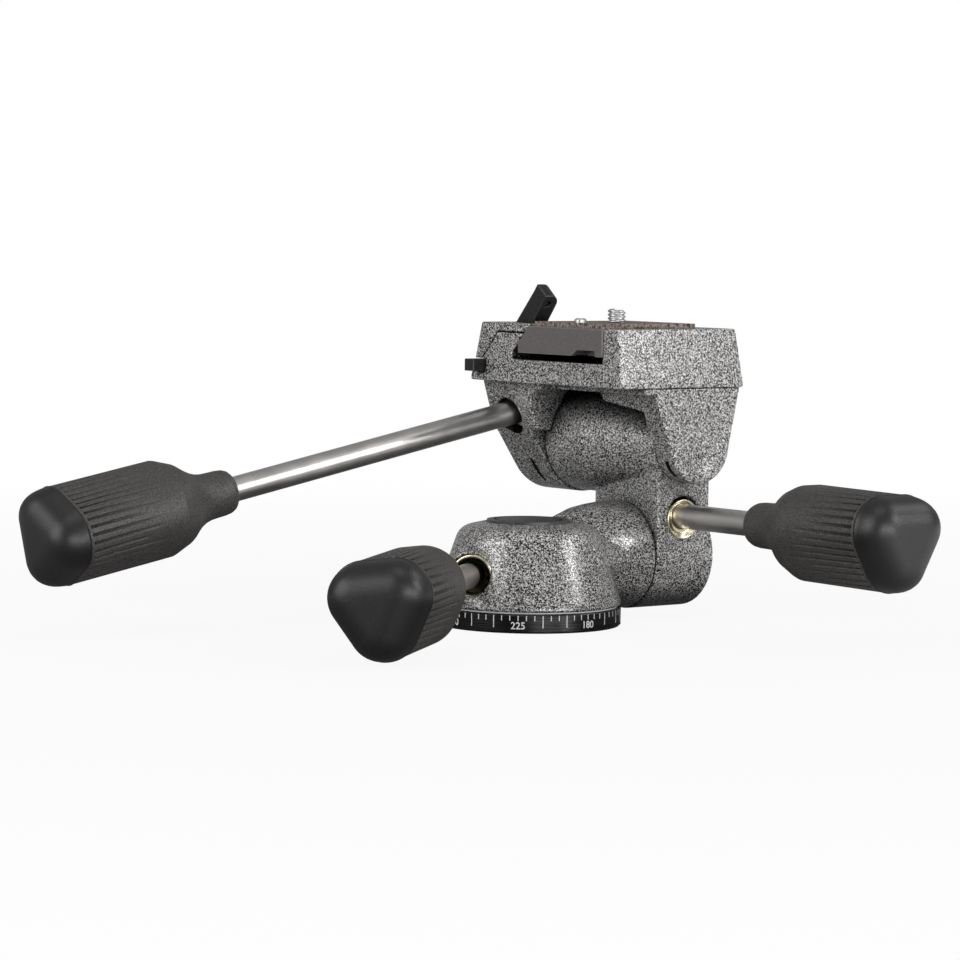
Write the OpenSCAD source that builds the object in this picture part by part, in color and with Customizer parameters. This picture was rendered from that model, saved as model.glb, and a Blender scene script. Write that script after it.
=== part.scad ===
// Three-way pan and tilt head with a quick-release platform.
// Millimetres, +Z up, origin at the centre of the underside of the base ring.
// +Y is the way the camera looks, +X is the operator's right.

/* [Base] */
// Diameter of the graduated base ring
ring_d = 64; // [58:1:72]
// Height of the base ring
ring_h = 6.5; // [5.5:0.5:9]
// Bore of the tripod socket (minor diameter of the 3/8 inch thread)
socket_d = 7.94; // [5.2:0.02:8]
// Diameter of the pan post that the housing turns on
post_d = 22; // [20:1:24]

/* [Pan housing] */
// Height of the housing above the base ring
housing_h = 28.5; // [26:0.5:34]
// Diameter of the housing at its top edge
housing_top_d = 50; // [46:1:54]
// Diameter of the flat cap over the pan bearing
cap_d = 28.4; // [24:0.2:30]
// Heading of the pan handle, measured from +X
pan_heading = -52; // [-75:1:-40]
// Height of the pan handle above the base
pan_rod_z = 18.5; // [18:0.5:20]

/* [Side tilt] */
// Height of the side-tilt axis above the base
side_z = 22; // [21:0.5:25]
// Diameter of the side-tilt barrel
arm_d = 38; // [34:1:40]
// Distance from the pan axis to the side-tilt joint face
arm_reach = 41.4; // [40:0.2:48]
// Thickness of the side-tilt block along its axis
block_t = 23; // [20:0.5:26]
// Diameter of both tilt shafts
shaft_d = 20; // [16:1:22]
// Distance from each axis to the handle that clamps it
clamp_off = 14; // [13:0.5:15]

/* [Front tilt] */
// Height of the front-tilt axis above the side-tilt axis
tilt_rise = 38.8; // [38:0.2:44]
// Distance of the front-tilt axis behind the middle of the block
tilt_back = 1.4; // [0:0.2:3]
// Diameter of the front-tilt barrel
barrel_d = 37.8; // [33:0.2:38.6]
// Diameter of the barrel where it meets the right cheek
barrel_tip_d = 26; // [23:1:28]
// Length of the barrel to the left of the side-tilt axis
barrel_left = 33.6; // [30:0.2:38]

/* [Yoke] */
// Thickness of the left cheek, which holds the clamp
cheek_l = 20; // [18:0.5:24]
// Thickness of the right cheek
cheek_r = 9.2; // [8:0.2:12]
// Diameter of the left cheek around the axis
lobe_l_d = 39; // [37:1:42]
// Diameter of the right cheek around the axis
lobe_r_d = 25.6; // [24:0.2:28]
// Lean of the cheek edges from upright
cheek_lean = 21; // [16:1:24]
// Lean of the left cheek's rear edge below the handle
clamp_lean = 34; // [30:1:36]
// Lean of the left cheek's rear edge above the handle
clamp_top_lean = 17; // [12:1:20]

/* [Platform] */
// Width of the platform at its foot
plat_w = 84.6; // [82:0.2:94]
// Depth of the platform at its foot
plat_l = 54.4; // [52:0.2:62]
// Height of the platform
plat_h = 20.1; // [19:0.1:24]
// Overhang of the platform behind the front-tilt axis
plat_back = 36; // [34:0.5:40]

/* [Quick-release plate] */
// Width of the plate at its top
plate_w = 40.8; // [38:0.2:44]
// Length of the plate
plate_l = 41; // [38:0.5:44]
// Height of the plate in its slot
plate_h = 9.7; // [9:0.1:11]
// Sideways reach of the dovetail below the jaw
tail = 6.2; // [4:0.2:7]
// Thickness of the cork pad
cork_t = 1.6; // [1:0.1:3]
// Diameter of the camera screw (1/4 inch)
screw_d = 6.35; // [6.35]
// Height of the camera screw above the cork
screw_up = 4.3; // [4:0.1:6]
// Diameter of the anti-twist pin
pin_d = 4.2; // [3:0.1:5]
// Distance of the anti-twist pin behind the camera screw
pin_back = 16; // [13:0.5:17]

/* [Lock lever] */
// Length of the lever from its pivot to its tip
lever_l = 24; // [20:0.5:28]
// Lean of the lever towards the plate
lever_lean = 40; // [30:1:45]
// Thickness of the lever along its pivot
lever_t = 8; // [6:0.5:9]

/* [Handles] */
// Diameter of the handle rods
rod_d = 8.5; // [7.5:0.5:9]
// Length of each grip with its end cap
grip_l = 77; // [70:1:90]
// Length of the smooth end cap
grip_cap_l = 12; // [10:1:16]
// Distance across the rounded corners of a grip, halved
grip_r = 17; // [16:0.2:17.4]
// Distance from a grip's axis to its flats
grip_flat = 14.9; // [13.5:0.1:15.5]
// Bare rod between the block and the short grips
short_bare = 38.2; // [30:0.2:50]
// Bare rod between the cheek and the long grip
long_bare = 119.7; // [95:0.1:150]
// Downward lean of the long handle
long_drop = 11.3; // [5:0.1:15]

/* [Fits] */
// Gap at the joint faces between castings
joint_gap = 0.3; // [0.2:0.05:0.5]
// Radial clearance of shafts and pins that turn or slide
run = 0.05; // [0.02:0.01:0.1]
// Clearance round parts that are let into a casting
let_in = 0.15; // [0.1:0.05:0.3]

/* [Hidden] */
$fn = 72;
eps = 0.01;
ring_r = ring_d / 2;
socket_r = socket_d / 2;
insert_r = socket_r + 3;
post_r = post_d / 2;
flange_r = post_r + 9;
flange_h = 2.6;
washer_t = 0.4;
housing_z = ring_h + washer_t + 0.1;
housing_top = ring_h + housing_h;
housing_top_r = housing_top_d / 2;
housing_edge = 6.4;
housing_fall = 1;
arm_root = post_r + 3.2;
cap_r = cap_d / 2;
cap_t = 2.2;
cap_rise = 0.7;
well_r = cap_r - 1.5;
ledge_z = housing_top - 9;
base_screw_pcr = (insert_r + flange_r) / 2 + 0.5;
arm_r = arm_d / 2;
shaft_r = shaft_d / 2;
block_y0 = arm_reach + joint_gap;
block_y1 = block_y0 + block_t;
block_ym = (block_y0 + block_y1) / 2;
side_rod_z = side_z + clamp_off;
front_well = 3.1;
block_boss = 2.4;
side_end_y = block_y1 + block_boss - front_well;
tilt_y = block_ym - tilt_back;
tilt_z = side_z + tilt_rise;
barrel_r = barrel_d / 2;
barrel_tip_r = barrel_tip_d / 2;
block_x = arm_r;
block_drop = 6;
barrel_step_x = -14;
neck_round = 5.5;
cheek_l_x1 = -barrel_left - joint_gap;
cheek_l_x0 = cheek_l_x1 - cheek_l;
cheek_r_x0 = block_x + 0.6 + joint_gap;
cheek_r_x1 = cheek_r_x0 + cheek_r;
lobe_l_r = lobe_l_d / 2;
lobe_r_r = lobe_r_d / 2;
tilt_tip_r = min(7, lobe_r_r - 4);
tilt_rod_x = (cheek_l_x0 + cheek_l_x1) / 2 + 0.9;
tilt_rod_z = tilt_z + clamp_off;
clamp_knee = 5;
clamp_back = lobe_l_r * cos(clamp_lean) + (clamp_knee + lobe_l_r * sin(clamp_lean)) * tan(clamp_lean);
clamp_web = 4.5;
arch_r = 8;
web_x = -3;
web_in = 5.4;
web_out = 8.4;
mouth_r = rod_d / 2 + 2.35;
mouth_drop = 1.2;
plat_z0 = tilt_z + barrel_r + 1.2;
plat_z1 = plat_z0 + plat_h;
plat_x1 = cheek_r_x1 + 0.5;
plat_x0 = plat_x1 - plat_w;
plat_y0 = tilt_y - plat_back;
plat_y1 = plat_y0 + plat_l;
plat_in_l = 5.3;
plat_in_r = 3;
plat_in_f = 1.5;
plat_in_b = 0.4;
bridge_t = 2.2;
yoke_screw_r = 2;
yoke_screw_l = 15;
yoke_screw_s = 12;
yoke_screw_left = 22;
yoke_screw_right = 14;
plate_x1 = plate_w / 2 - 1.6;
plate_x0 = plate_x1 - plate_w;
plate_y0 = plat_y0 + 0.2;
plate_y1 = plate_y0 + plate_l;
plate_z0 = plat_z1 - plate_h;
notch_x0 = plate_x1 - 17;
notch_x1 = plate_x1 - 4.4;
notch_z = plate_z0 + 2;
tail_z = plat_z1 - tail;
slot_z = plate_z0 - 2.3;
slot_side = 3.4;
screw_y = (plate_y0 + plate_y1) / 2 + 0.9;
screw_r = screw_d / 2;
screw_head_r = 8;
screw_head_t = 2.4;
pin_r = pin_d / 2;
pin_y = screw_y - pin_back;
pin_head_r = pin_r + 1.2;
jaw_t = 2.4;
jaw_travel = 2.4;
jaw_leg_x = plat_x0 + plat_in_l + 9.2;
jaw_foot_x = plat_x0 + 5.8;
jaw_foot_z = plate_z0 - 2.6;
jaw_rise = 0.6;
jaw_gap = 0.35;
jaw_y0 = plat_y0 + plat_in_b + 0.1;
jaw_y1 = plate_y1 + 4;
lever_y = plat_y0 + 12.5;
lever_x = plat_x0 + 13.4;
lever_z = plat_z1 - 5;
lever_pin_r = 1.5;
lever_hub_r = 4;
lever_tip_r = 3.2;
lever_swing = 60;
lug_half = lever_t / 2 + 5.5;
catch_w = 5.3;
catch_h = 4.3;
catch_x = plat_x0 + 3;
catch_z = plat_z0 + 3.3;
catch_out = 5.1;
catch_in = 14;
rod_r = rod_d / 2;
bush_r = rod_r + 2.25;
bush_flange_r = rod_r + 2.65;
bush_mouth_r = rod_r + 0.5;
bush_l = 10;
bush_mouth_l = 3.6;
bush_flange_t = 1.2;
plug_r = rod_r + 1.25;
plug_back = 7;
rod_grip = grip_l - grip_cap_l - 6;
collar_tip_r = rod_r + 2.15;
pan_off = post_r + 2;
pan_wall_r = ring_r - (ring_r - housing_top_r) * (pan_rod_z - housing_z) / (housing_top - housing_z);
pan_face = sqrt(pow(pan_wall_r, 2) - pow(pan_off, 2)) - 0.6;
side_face = block_x - bush_flange_t;
pan_grip_at = pan_face + bush_flange_t + short_bare;
side_grip_at = side_face + bush_flange_t + short_bare;
tilt_mouth = (clamp_back + (clamp_off - clamp_knee) * tan(clamp_top_lean))
  / (cos(long_drop) + sin(long_drop) * tan(clamp_top_lean));
tilt_face = tilt_mouth - 5;
tilt_grip_at = tilt_mouth + long_bare;

function arc(cx, cy, r, a0, a1, n) =
  [for (i = [0 : n]) [cx + r * cos(a0 + (a1 - a0) * i / n), cy + r * sin(a0 + (a1 - a0) * i / n)]];

// Local frames of the three handles: +Z runs out along the rod from the clamped axis.
module pan_frame() {
  rotate([0, 0, pan_heading])
    translate([0, -pan_off, pan_rod_z])
      rotate([0, 90, 0])
        children();
}

module side_frame() {
  translate([0, block_ym, side_rod_z])
    rotate([0, 90, 0])
      children();
}

module tilt_frame() {
  translate([tilt_rod_x, tilt_y, tilt_rod_z])
    rotate([90 + long_drop, 0, 0])
      children();
}

module along_x(x0, x1, y, z, r) {
  translate([x0, y, z])
    rotate([0, 90, 0])
      cylinder(r = r, h = x1 - x0);
}

module along_y(y0, y1, x, z, r) {
  translate([x, y0, z])
    rotate([-90, 0, 0])
      cylinder(r = r, h = y1 - y0);
}

module box(x0, x1, y0, y1, z0, z1) {
  translate([x0, y0, z0])
    cube([x1 - x0, y1 - y0, z1 - z0]);
}

// Base ring: turned disc that carries the pan scale and screws to the tripod.
module base_ring() {
  color([0.09, 0.09, 0.1])
    difference() {
      rotate_extrude()
        polygon([[0, 0], [ring_r - 0.6, 0], [ring_r, 0.6], [ring_r, ring_h - 0.5],
          [ring_r - 0.5, ring_h], [0, ring_h]]);
      translate([0, 0, -1])
        cylinder(r = insert_r, h = ring_h + 2);
      base_screw_set(run);
    }
}

module base_screw_set(extra) {
  for (a = [0, 120, 240])
    rotate([0, 0, a])
      translate([base_screw_pcr, 0, 0]) {
        translate([0, 0, 0.4 - (extra > 0 ? 1 : 0)])
          cylinder(r = 3 + extra, h = 2.2 + (extra > 0 ? 1 : 0));
        cylinder(r = 1.75 + extra, h = ring_h + flange_h - 0.4);
      }
}

// Base screws: three short screws that hold the pan post to the base ring.
module base_screws() {
  color([0.5, 0.5, 0.52])
    difference() {
      base_screw_set(0);
      translate([0, 0, -1])
        cylinder(r = ring_r, h = 1.4);
    }
}

// Tripod insert: threaded steel bush pressed into the base ring.
module tripod_insert() {
  color([0.6, 0.6, 0.62])
    difference() {
      cylinder(r = insert_r, h = ring_h);
      translate([0, 0, -1])
        cylinder(r = socket_r, h = ring_h + 2);
    }
}

// Pan post: flanged steel post that the housing turns on.
module pan_post() {
  color([0.55, 0.55, 0.57])
    difference() {
      union() {
        translate([0, 0, ring_h])
          cylinder(r = flange_r, h = flange_h);
        translate([0, 0, ring_h])
          cylinder(r = post_r, h = ledge_z + 0.1 - ring_h);
        translate([0, 0, ring_h])
          cylinder(r = 5, h = housing_top - 2.6 - ring_h);
      }
      translate([0, 0, ring_h - 1])
        cylinder(r = socket_r + 1, h = 9);
      base_screw_set(run);
    }
}

// Pan washer: thin slip ring that the housing slides round on.
module pan_washer() {
  color([0.75, 0.75, 0.72])
    translate([0, 0, ring_h])
      difference() {
        cylinder(r = ring_r - 1.2, h = washer_t);
        translate([0, 0, -1])
          cylinder(r = flange_r + 0.6, h = washer_t + 2);
      }
}

// Pan disc: steel washer that keeps the housing down on its post.
module pan_disc() {
  color([0.6, 0.6, 0.62])
    translate([0, 0, ledge_z + 0.1])
      difference() {
        cylinder(r = well_r - 0.5, h = 1.4);
        translate([0, 0, -1])
          cylinder(r = 5, h = 4);
      }
}

// Pan nut: round nut on the post that sets the pan bearing.
module pan_nut() {
  color([0.55, 0.55, 0.57])
    translate([0, 0, ledge_z + 1.5])
      difference() {
        cylinder(r = 8.5, h = 4, $fn = 6);
        translate([0, 0, -1])
          cylinder(r = 5, h = 6);
      }
}

// Pan housing: cast cone over the post, with the arm of the side-tilt joint.
module pan_housing() {
  color([0.62, 0.63, 0.63])
    difference() {
      union() {
        rotate_extrude()
          polygon(concat([[0, housing_z], [ring_r, housing_z], [ring_r, housing_z + 1.2]],
            arc(housing_top_r - housing_edge, housing_top - housing_fall - housing_edge,
              housing_edge, 15, 82, 6),
            [[cap_r + 0.6, housing_top], [0, housing_top]]));
        translate([0, 0, side_z])
          rotate([-90, 0, 0])
            rotate_extrude()
              polygon([[0, arm_root], [housing_top - side_z + 1.5, arm_root],
                [arm_r - 1.8, arm_root + 7.7], [arm_r - 0.9, ring_r - 4.8], [arm_r - 0.4, ring_r],
                [arm_r - 0.4, arm_reach], [0, arm_reach]]);
        pan_frame()
          translate([0, 0, 6])
            cylinder(r = bush_flange_r + 1.2, h = pan_face + bush_flange_t - 6);
      }
      translate([0, 0, -20])
        cylinder(r = ring_r + 0.5, h = 20 + housing_z);
      translate([0, 0, housing_z - 1])
        cylinder(r = flange_r + 0.4, h = ring_h + flange_h + 0.2 - housing_z + 1);
      cylinder(r = post_r + run, h = ledge_z + 1);
      translate([0, 0, ledge_z])
        cylinder(r = well_r, h = 30);
      translate([0, 0, housing_top + cap_rise - cap_t])
        cylinder(r = cap_r + run, h = 30);
      along_y(post_r + 3, arm_reach + 1, 0, side_z, shaft_r);
      pan_frame() {
        translate([0, 0, pan_face - bush_l])
          cylinder(r = bush_r, h = bush_l + 10);
        translate([0, 0, pan_face])
          cylinder(r = bush_flange_r + let_in, h = 10);
        translate([0, 0, -plug_back - 1])
          cylinder(r = plug_r + run, h = pan_face + plug_back + 1 - bush_l + eps);
      }
    }
}

// Pan cap: flat turned cap, pressed into the top of the housing.
module pan_cap() {
  color([0.08, 0.08, 0.09])
    translate([0, 0, housing_top + cap_rise - cap_t])
      difference() {
        cylinder(r = cap_r, h = cap_t);
        translate([0, 0, cap_t - 0.4])
          difference() {
            cylinder(r = cap_r - 2.4, h = 1);
            translate([0, 0, -1])
              cylinder(r = cap_r - 3.2, h = 3);
          }
      }
}

// Clamp bush, in a handle's frame: flanged brass bush that the rod screws through.
module bush(face) {
  color([0.78, 0.6, 0.27])
    difference() {
      union() {
        translate([0, 0, face - bush_l])
          cylinder(r = bush_r, h = bush_l);
        translate([0, 0, face])
          cylinder(r = bush_flange_r, h = bush_flange_t);
      }
      translate([0, 0, face - bush_l - 1])
        cylinder(r = rod_r + run, h = bush_l + 4);
      translate([0, 0, face + bush_flange_t - bush_mouth_l])
        cylinder(r1 = bush_mouth_r, r2 = bush_flange_r - 0.4, h = bush_mouth_l + eps);
    }
}

// Clamp plug, in a handle's frame: brass slug that the rod presses against the shaft.
module plug(face, off, r) {
  color([0.72, 0.55, 0.25])
    difference() {
      translate([0, 0, -plug_back])
        cylinder(r = plug_r, h = face - bush_l + plug_back - 0.2);
      translate([off, -30, 0])
        rotate([-90, 0, 0])
          cylinder(r = r + 2 * run, h = 60);
    }
}

module pan_bush() {
  pan_frame()
    bush(pan_face);
}

module pan_plug() {
  color([0.72, 0.55, 0.25])
    difference() {
      pan_frame()
        translate([0, 0, -plug_back])
          cylinder(r = plug_r, h = pan_face - bush_l + plug_back - 0.2);
      cylinder(r = post_r + 2 * run, h = 60);
    }
}

// Side shaft: steel shaft pressed into the housing arm, carries the side-tilt block.
module side_shaft() {
  color([0.58, 0.58, 0.6])
    difference() {
      along_y(post_r + 3, side_end_y + 0.1, 0, side_z, shaft_r);
      along_y(side_end_y - 12, side_end_y + 1, 0, side_z, 3);
    }
}

// Side washer: keeps the block on the side shaft.
module side_washer() {
  color([0.58, 0.58, 0.6])
    difference() {
      along_y(side_end_y + 0.1, side_end_y + 1.5, 0, side_z, shaft_r + 2);
      along_y(side_end_y - 1, side_end_y + 3, 0, side_z, 3);
    }
}

// Side screw: socket screw in the end of the side shaft.
module side_screw() {
  color([0.3, 0.3, 0.32])
    difference() {
      union() {
        along_y(side_end_y - 11.9, side_end_y + 2, 0, side_z, 3);
        along_y(side_end_y + 1.5, side_end_y + 2.8, 0, side_z, 6.5);
      }
      translate([0, side_end_y + 1, side_z])
        rotate([-90, 0, 0])
          cylinder(r = 2.3, h = 4, $fn = 6);
    }
}

// Handle rod, in a handle's frame.
module rod(face, grip_at) {
  color([0.75, 0.76, 0.78])
    union() {
      translate([0, 0, face - bush_l])
        cylinder(r1 = rod_r - 1, r2 = rod_r, h = 1);
      translate([0, 0, face - bush_l + 1])
        cylinder(r = rod_r, h = grip_at + rod_grip - face + bush_l - 1);
    }
}

// Three bulging sides, drawn in by a little from z1 to z0 and by slope towards the far end.
module tri_sides(z0, z1, low, high) {
  bulge = grip_flat * 1.5;
  intersection_for (a = [0, 120, 240])
    rotate([0, 0, a])
      translate([grip_flat - bulge, 0, z0])
        cylinder(r1 = bulge - low, r2 = bulge - high, h = z1 - z0);
}

// Grip, in its own frame: moulded three-sided rubber grip with a round collar.
module grip() {
  neck_l = grip_l * 0.37;
  body_l = grip_l - grip_cap_l - 0.1;
  rise = grip_r - collar_tip_r;
  color([0.07, 0.07, 0.08])
    difference() {
      intersection() {
        rotate_extrude()
          polygon([[0, 0], [collar_tip_r, 0], [collar_tip_r + rise * 0.08, 1.2],
            [collar_tip_r + rise * 0.15, neck_l * 0.14], [collar_tip_r + rise * 0.28, neck_l * 0.38],
            [collar_tip_r + rise * 0.5, neck_l * 0.6], [collar_tip_r + rise * 0.74, neck_l * 0.78],
            [collar_tip_r + rise * 0.92, neck_l * 0.9], [grip_r, neck_l * 1.04], [grip_r, body_l],
            [0, body_l]]);
        tri_sides(-1, body_l, 1.2, 0);
      }
      translate([0, 0, -1])
        cylinder(r = rod_r, h = rod_grip + 1.2);
    }
}

// End cap, in the grip's frame: smooth cushion that closes the grip.
module grip_cap() {
  body_l = grip_l - grip_cap_l;
  round_r = 6.5;
  color([0.06, 0.06, 0.07])
    intersection() {
      rotate_extrude()
        polygon(concat([[0, body_l], [grip_r, body_l]],
          arc(grip_r - round_r, grip_l - round_r - 2, round_r, 0, 70, 6), [[0, grip_l]]));
      tri_sides(body_l, grip_l + 1, 0, 0);
    }
}

module pan_rod() {
  pan_frame()
    rod(pan_face, pan_grip_at);
}

module pan_grip() {
  pan_frame()
    translate([0, 0, pan_grip_at])
      rotate([0, 0, 67])
        grip();
}

module pan_grip_cap() {
  pan_frame()
    translate([0, 0, pan_grip_at])
      rotate([0, 0, 67])
        grip_cap();
}

// Barrel outline round the front-tilt axis, grown by a margin.
module barrel_form(grow, x0, x1) {
  translate([0, tilt_y, tilt_z])
    rotate([0, 90, 0]) {
      translate([0, 0, x0])
        cylinder(r = barrel_r + grow, h = barrel_step_x - x0);
      translate([0, 0, barrel_step_x])
        cylinder(r1 = barrel_r + grow, r2 = barrel_tip_r + grow, h = x1 - barrel_step_x);
    }
}

// Side-tilt block: casting that turns on the side shaft and carries the front-tilt barrel.
module tilt_block() {
  color([0.62, 0.63, 0.63])
    difference() {
      union() {
        along_y(block_y0, block_y1 + block_boss, 0, side_z, arm_r);
        difference() {
          box(-block_x, block_x, block_y0, block_y1, side_z, tilt_z - block_drop);
          difference() {
            box(-block_x - 1, -block_x + neck_round, block_y0 - 1, block_y0 + neck_round,
              side_z - 1, tilt_z);
            translate([-block_x + neck_round, block_y0 + neck_round, 0])
              cylinder(r = neck_round, h = tilt_z + 1);
          }
        }
        barrel_form(0, -barrel_left, block_x + 0.6);
      }
      along_y(block_y0 - 1, side_end_y + 1, 0, side_z, shaft_r + run);
      along_y(side_end_y, block_y1 + block_boss + 1, 0, side_z, shaft_r + 2.5);
      along_x(-barrel_left - 1, block_x - 1, tilt_y, tilt_z, shaft_r);
      along_x(block_x - 1 - eps, block_x + 2, tilt_y, tilt_z, tilt_tip_r);
      side_frame() {
        translate([0, 0, side_face - bush_l])
          cylinder(r = bush_r, h = bush_l + 10);
        translate([0, 0, side_face])
          cylinder(r = bush_flange_r + let_in, h = 10);
        translate([0, 0, -plug_back - 1])
          cylinder(r = plug_r + run, h = side_face + plug_back + 1 - bush_l + eps);
      }
    }
}

module side_bush() {
  side_frame()
    bush(side_face);
}

module side_plug() {
  side_frame()
    plug(side_face, clamp_off, shaft_r);
}

// Tilt shaft: stepped steel shaft pressed into the barrel, turns in both cheeks.
module tilt_shaft() {
  color([0.58, 0.58, 0.6])
    union() {
      along_x(cheek_l_x0 + 2.6, block_x - 1, tilt_y, tilt_z, shaft_r);
      along_x(block_x - 1 - eps, cheek_r_x1 - 3, tilt_y, tilt_z, tilt_tip_r);
    }
}

module side_rod() {
  side_frame()
    rod(side_face, side_grip_at);
}

module side_grip() {
  side_frame()
    translate([0, 0, side_grip_at])
      rotate([0, 0, 180])
        grip();
}

module side_grip_cap() {
  side_frame()
    translate([0, 0, side_grip_at])
      rotate([0, 0, 180])
        grip_cap();
}

// Cheek outline in the YZ plane: a round lobe with leaning edges, the rear one bent at a knee.
module cheek(x0, x1, r, low, high, knee) {
  top = plat_z0 - tilt_z;
  c = cos(cheek_lean);
  s = sin(cheek_lean);
  half = r * c + (top + r * s) * s / c;
  back = r * cos(low) + (knee + r * sin(low)) * tan(low);
  translate([x0, tilt_y, tilt_z])
    rotate([90, 0, 90])
      linear_extrude(height = x1 - x0) {
        circle(r = r);
        polygon([[-r * cos(low), -r * sin(low)], [r * c, -r * s],
          [min(half, plat_y1 - tilt_y - 1), top], [-back - (top - knee) * tan(high), top],
          [-back, knee]]);
      }
}

// Yoke: casting with two cheeks that hangs the platform on the tilt shaft.
module yoke() {
  rear = tilt_y - lobe_l_r - 4;
  web_l_x = cheek_l_x1 + clamp_web;
  arch_z = plat_z0 - bridge_t - arch_r;
  color([0.62, 0.63, 0.63])
    difference() {
      union() {
        cheek(cheek_l_x0, cheek_l_x1, lobe_l_r, clamp_lean, clamp_top_lean, clamp_knee);
        cheek(cheek_r_x0, cheek_r_x1, lobe_r_r, cheek_lean, cheek_lean, 0);
        intersection() {
          cheek(cheek_l_x0, web_l_x + arch_r + 1, lobe_l_r, clamp_lean, clamp_top_lean, clamp_knee);
          union() {
            box(cheek_l_x0, web_l_x, plat_y0, rear + 8.5, tilt_z + 3, plat_z0);
            difference() {
              box(web_l_x - 1, web_l_x + arch_r, plat_y0, rear + 8.5, arch_z, plat_z0);
              along_y(plat_y0 - 1, rear + 9, web_l_x + arch_r, arch_z, arch_r);
            }
          }
        }
        box(cheek_l_x0 + 1, cheek_r_x1 - 0.5, rear - 1, plat_y1 - 3, plat_z0 - bridge_t, plat_z0);
        translate([0, tilt_y + block_drop - 0.4, 0])
          rotate([90, 0, 0])
            linear_extrude(height = lobe_r_r + 6 + block_drop - 0.4)
              polygon([[web_x, plat_z0], [web_x, plat_z0 - web_in + 2], [web_x + 2, plat_z0 - web_in],
                [cheek_r_x0 + 1, plat_z0 - web_out], [cheek_r_x0 + 1, plat_z0]]);
      }
      barrel_form(0.5, cheek_l_x1, cheek_r_x0);
      along_x(cheek_l_x0 - 1, cheek_l_x1 + 1, tilt_y, tilt_z, shaft_r + run);
      along_x(cheek_l_x0 - 1, cheek_l_x0 + 2.5, tilt_y, tilt_z, shaft_r + 2);
      along_x(cheek_r_x0 - 1, cheek_r_x1 - 2.8, tilt_y, tilt_z, tilt_tip_r + run);
      dish = 45;
      translate([cheek_r_x1 + dish - 1.1, tilt_y, tilt_z])
        sphere(r = dish);
      slit(cheek_l_x1 - 9, lobe_l_r, 5);
      slit(cheek_r_x0 + 4.2, lobe_r_r, 3.5);
      tilt_frame()
        translate([0, 0, -plug_back - 1])
          cylinder(r = plug_r + run, h = tilt_mouth + plug_back + 21);
      tilt_frame()
        translate([0, -mouth_drop, tilt_face - 4])
          cylinder(r = mouth_r, h = 30);
      yoke_screw_set(run);
    }
}

// Short saw cut in the rear lower edge of a cheek, which lets it spring.
module slit(x, r, depth) {
  intersection() {
    translate([x, tilt_y, tilt_z])
      rotate([0, 90, 0])
        difference() {
          cylinder(r = r + 8, h = 1.2);
          translate([0, 0, -1])
            cylinder(r = r - depth, h = 3);
        }
    translate([x - 1, tilt_y, tilt_z])
      rotate([35, 0, 0])
        translate([0, -r - 9, -r * 0.35])
          cube([3, r + 9, r * 0.55]);
  }
}

// Tilt bush: plain brass sleeve set back in the bore of the left cheek.
module tilt_bush() {
  color([0.78, 0.6, 0.27])
    tilt_frame()
      translate([0, 0, tilt_face - bush_l])
        difference() {
          cylinder(r = plug_r + run, h = bush_l);
          translate([0, 0, -1])
            cylinder(r = rod_r + run, h = bush_l + 2);
        }
}

// Tilt plug: brass slug with a flat that clears the platform.
module tilt_plug() {
  color([0.72, 0.55, 0.25])
    difference() {
      tilt_frame()
        translate([0, 0, -plug_back])
          cylinder(r = plug_r, h = tilt_face - bush_l + plug_back - 0.2);
      along_x(-200, 200, tilt_y, tilt_z, shaft_r + 2 * run);
      box(cheek_l_x0, cheek_l_x1, tilt_y - 20, tilt_y + 20, plat_z0 - 0.1, plat_z0 + 10);
    }
}

// Tilt cover: flat plug that closes the end of the shaft bore in the left cheek.
module tilt_cover() {
  color([0.1, 0.1, 0.11])
    along_x(cheek_l_x0 + 0.2, cheek_l_x0 + 2.4, tilt_y, tilt_z, shaft_r + 2);
}

module yoke_screw_set(extra) {
  for (x = [cheek_l_x0 + 5.5, cheek_r_x1 - 4.6], y = [tilt_y + plug_back + 6.5])
    translate([x, y, plat_z0 - yoke_screw_l / 2])
      cylinder(r = yoke_screw_r + extra, h = yoke_screw_l);
  for (x = [cheek_l_x1 - 2, 10])
    translate([x, tilt_y - (x < 0 ? yoke_screw_left : yoke_screw_right), plat_z0 - yoke_screw_s / 2])
      cylinder(r = yoke_screw_r + extra, h = yoke_screw_s);
}

// Yoke screws: four set screws that tie the platform down on the yoke.
module yoke_screws() {
  color([0.4, 0.4, 0.42])
    yoke_screw_set(0);
}

module tilt_rod() {
  tilt_frame()
    rod(tilt_face, tilt_grip_at);
}

module tilt_grip() {
  tilt_frame()
    translate([0, 0, tilt_grip_at])
      rotate([0, 0, 60])
        grip();
}

module tilt_grip_cap() {
  tilt_frame()
    translate([0, 0, tilt_grip_at])
      rotate([0, 0, 60])
        grip_cap();
}

// Platform outline: a block with leaning sides.
module plat_form() {
  intersection() {
    translate([0, plat_y1 + 1, 0])
      rotate([90, 0, 0])
        linear_extrude(height = plat_l + 2)
          polygon([[plat_x0, plat_z0], [plat_x1, plat_z0], [plat_x1, plat_z0 + 1.5],
            [plat_x1 - plat_in_r, plat_z1], [plat_x0 + plat_in_l, plat_z1], [plat_x0, plat_z0 + 1.5]]);
    translate([plat_x0 - 1, 0, 0])
      rotate([90, 0, 90])
        linear_extrude(height = plat_w + 2)
          polygon([[plat_y0, plat_z0], [plat_y1, plat_z0], [plat_y1, plat_z0 + 1.5],
            [plat_y1 - plat_in_f, plat_z1], [plat_y0 + plat_in_b, plat_z1], [plat_y0, plat_z0 + 1.5]]);
  }
}

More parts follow.
